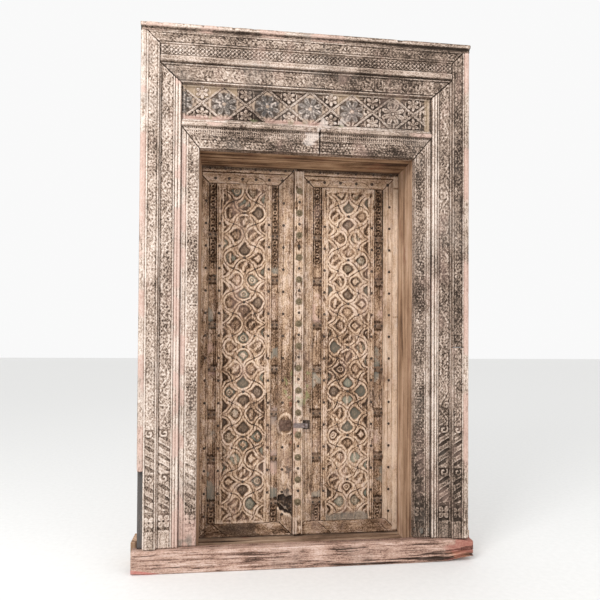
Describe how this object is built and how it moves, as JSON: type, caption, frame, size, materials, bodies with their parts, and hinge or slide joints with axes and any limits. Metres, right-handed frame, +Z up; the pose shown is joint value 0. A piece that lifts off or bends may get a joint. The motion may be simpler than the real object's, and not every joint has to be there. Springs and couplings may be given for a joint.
{
  "type": "carved temple door",
  "caption": "Weathered double-leaf carved timber door in a layered carved frame with a rosette frieze, lattice leaves, a studded astragal bar and an iron hasp.",
  "frame": {"origin": "middle of the sill's underside at the front plane of the outer architrave, on the ground", "axes": "+X to the right seen from outside, +Y into the building, +Z up"},
  "size_m": [1.564, 0.368, 2.39],
  "materials": {
    "frame_wood": "weathered carved teak with worn limewash",
    "sill_wood": "bare coarse-grained timber with traces of red paint",
    "leaf_wood": "worn tan timber with paint traces",
    "raw_timber": "rough dark timber",
    "iron": "wrought, rusted",
    "boss_metal": "greenish brown patina"
  },
  "bodies": {
    "frame": {"sill": "sill_wood", "threshold_board": "raw_timber", "left_foot_block": "raw_timber", "right_foot_block": "raw_timber", "left_post": "raw_timber", "right_post": "raw_timber", "head_beam": "raw_timber", "top_beam": "raw_timber", "back_header": "raw_timber", "left_outer_jamb": "frame_wood", "right_outer_jamb_lower": "frame_wood", "right_outer_jamb_upper": "frame_wood", "outer_head": "frame_wood", "cornice": "frame_wood", "left_edge_moulding": "frame_wood", "right_edge_moulding": "frame_wood", "lintel_band": "frame_wood", "left_middle_jamb": "frame_wood", "right_middle_jamb": "frame_wood", "middle_head": "frame_wood", "frieze_panel": "frame_wood", "left_ledge": "frame_wood", "right_ledge": "frame_wood", "left_inner_jamb": "frame_wood", "right_inner_jamb": "frame_wood", "left_inner_head": "frame_wood", "right_inner_head": "frame_wood"},
    "left_leaf": {"left_heel_post": "leaf_wood", "left_leaf_boards": "raw_timber", "left_outer_stile": "leaf_wood", "left_meeting_stile": "leaf_wood", "left_top_rail": "leaf_wood", "left_bottom_rail": "leaf_wood", "left_groove_strips": "leaf_wood", "left_border_strips": "leaf_wood", "left_lattice": "leaf_wood", "left_ties": "leaf_wood", "left_nails": "iron", "left_ledgers": "raw_timber", "left_gudgeons": "iron", "lock_plate": "iron"},
    "right_leaf": {"right_heel_post": "leaf_wood", "right_leaf_boards": "raw_timber", "right_outer_stile": "leaf_wood", "right_meeting_stile": "leaf_wood", "right_top_rail": "leaf_wood", "right_bottom_rail": "leaf_wood", "right_groove_strips": "leaf_wood", "right_border_strips": "leaf_wood", "right_lattice": "leaf_wood", "right_ties": "leaf_wood", "right_nails": "iron", "right_ledgers": "raw_timber", "right_gudgeons": "iron", "right_edge_bar": "leaf_wood", "astragal_bar": "leaf_wood", "astragal_bosses": "boss_metal", "hasp_staple": "iron"},
    "hasp_arm": {"hasp": "iron"}
  },
  "joints": [
    {"name": "left_leaf_pivot", "type": "hinge", "parent": "frame", "child": "left_leaf", "pos_m": [-0.521, 0.3185, 0.1], "axis": [0, 0, 1], "range_deg": [0, 95]},
    {"name": "right_leaf_pivot", "type": "hinge", "parent": "frame", "child": "right_leaf", "pos_m": [0.521, 0.3185, 0.1], "axis": [0, 0, -1], "range_deg": [0, 95]},
    {"name": "hasp_swing", "type": "hinge", "parent": "right_leaf", "child": "hasp_arm", "pos_m": [0.0235, 0.265, 0.59], "axis": [0, 0, 1], "range_deg": [0, 150]}
  ]
}
